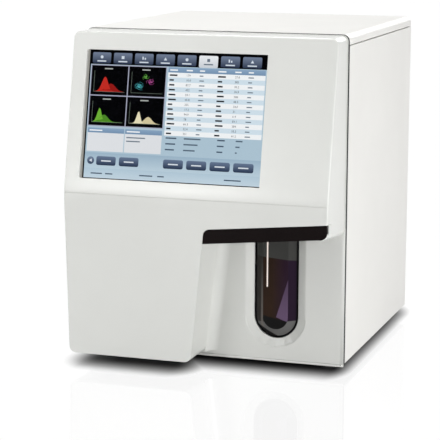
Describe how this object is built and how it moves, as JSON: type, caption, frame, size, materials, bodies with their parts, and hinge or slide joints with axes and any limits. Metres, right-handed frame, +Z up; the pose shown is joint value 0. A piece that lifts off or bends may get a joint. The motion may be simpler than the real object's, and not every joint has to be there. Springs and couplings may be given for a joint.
{
  "type": "hematology analyzer",
  "caption": "Bench blood analyzer with a leaning touch screen above a sampling bay, where a lifting steel probe hangs before a hinged aspirate key under a dark slanted visor.",
  "frame": {"origin": "on the bench, under the middle of the instrument's width and depth", "axes": "+X to the right and +Y to the back for someone facing the screen, +Z up"},
  "size_m": [0.32, 0.414, 0.396],
  "materials": {
    "front_plastic": "fine moulded texture, satin",
    "panel_paint": "smooth white paint",
    "sheet_steel": "zinc-plated sheet",
    "rear_paint": "smooth light grey paint",
    "visor_black": "dark polished plastic",
    "key_smoke": "smoked polished plastic",
    "touch_glass": "clear glass",
    "lcd": "lit display",
    "steel": "ground bar",
    "probe_steel": "polished stainless tube",
    "rubber": "matt rubber",
    "dark_plastic": "fine texture",
    "motor_black": "black anodised",
    "aluminium": "machined",
    "clear_plastic": "clear acrylic",
    "syringe_glass": "clear glass",
    "white_resin": "natural resin",
    "board_green": "solder mask",
    "brass": "turned"
  },
  "bodies": {
    "chassis": {"front_frame": "front_plastic", "screen_panel": "front_plastic", "lower_front_cover": "front_plastic", "right_side_panel": "panel_paint", "left_side_panel": "panel_paint", "top_cover": "panel_paint", "rear_panel": "rear_paint", "bay_visor": "visor_black", "touch_glass": "touch_glass", "lcd_module": "lcd", "base_plate": "sheet_steel", "centre_wall": "sheet_steel", "lcd_bracket": "sheet_steel", "key_bracket": "sheet_steel", "switch_bracket": "sheet_steel", "bath_bracket": "sheet_steel", "key_pivot_pin": "steel", "key_spring": "steel", "probe_guide_rods": "steel", "syringe_guide_rods": "steel", "foot_screws": "steel", "rear_screws": "steel", "fan_guard": "steel", "data_ports": "steel", "feet": "rubber", "optical_dampers": "rubber", "key_switch": "dark_plastic", "solenoid_valves": "dark_plastic", "waste_pump": "dark_plastic", "fan_frame": "dark_plastic", "power_inlet": "dark_plastic", "probe_motor": "motor_black", "syringe_motor": "motor_black", "pump_motor": "motor_black", "laser_housing": "motor_black", "detector_housing": "motor_black", "probe_frame": "aluminium", "syringe_frame": "aluminium", "optical_base": "aluminium", "power_supply": "aluminium", "wbc_bath": "clear_plastic", "rbc_bath": "clear_plastic", "flow_cell": "clear_plastic", "vacuum_chamber": "clear_plastic", "syringe_barrels": "syringe_glass", "probe_wipe": "white_resin", "valve_manifold": "white_resin", "fluid_ports": "white_resin", "main_board": "board_green", "board_standoffs": "brass"},
    "key": {"aspirate_key": "key_smoke"},
    "probe": {"sample_probe": "probe_steel", "probe_carriage": "aluminium"},
    "probe_screw": {"probe_lead_screw": "steel"},
    "plungers": {"syringe_plungers": "white_resin", "plunger_yoke": "aluminium"},
    "plunger_screw": {"syringe_lead_screw": "steel"},
    "fan": {"fan_rotor": "dark_plastic"},
    "rocker": {"power_rocker": "dark_plastic"}
  },
  "joints": [
    {"name": "key_press", "type": "hinge", "parent": "chassis", "child": "key", "pos_m": [0.076, -0.1185, 0.1915], "axis": [1, 0, 0], "range_deg": [0, 2.5], "stiffness_Nm_per_rad": 1.5, "springref_deg": -2.86, "deforming": ["key_spring"]},
    {"name": "probe_lift", "type": "slide", "parent": "chassis", "child": "probe", "axis": [0, 0, 1], "range_m": [0, 0.06]},
    {"name": "probe_screw_turn", "type": "hinge", "parent": "chassis", "child": "probe_screw", "pos_m": [0.076, -0.085, 0.3], "axis": [0, 0, 1], "range_deg": [0, 1081]},
    {"name": "plunger_stroke", "type": "slide", "parent": "chassis", "child": "plungers", "axis": [0, 0, 1], "range_m": [0, 0.05]},
    {"name": "plunger_screw_turn", "type": "hinge", "parent": "chassis", "child": "plunger_screw", "pos_m": [-0.105, -0.08, 0.15], "axis": [0, 0, 1], "range_deg": [0, 1801]},
    {"name": "fan_spin", "type": "hinge", "parent": "chassis", "child": "fan", "pos_m": [-0.08, 0.18, 0.289], "axis": [0, 1, 0], "continuous": true},
    {"name": "rocker_tip", "type": "hinge", "parent": "chassis", "child": "rocker", "pos_m": [0.116, 0.193, 0.134], "axis": [1, 0, 0], "range_deg": [0, 16]}
  ],
  "couplings": [
    {"joint": "probe_screw_turn", "follows": "probe_lift", "rad_per_m": 314.16},
    {"joint": "plunger_screw_turn", "follows": "plunger_stroke", "rad_per_m": 628.32}
  ]
}
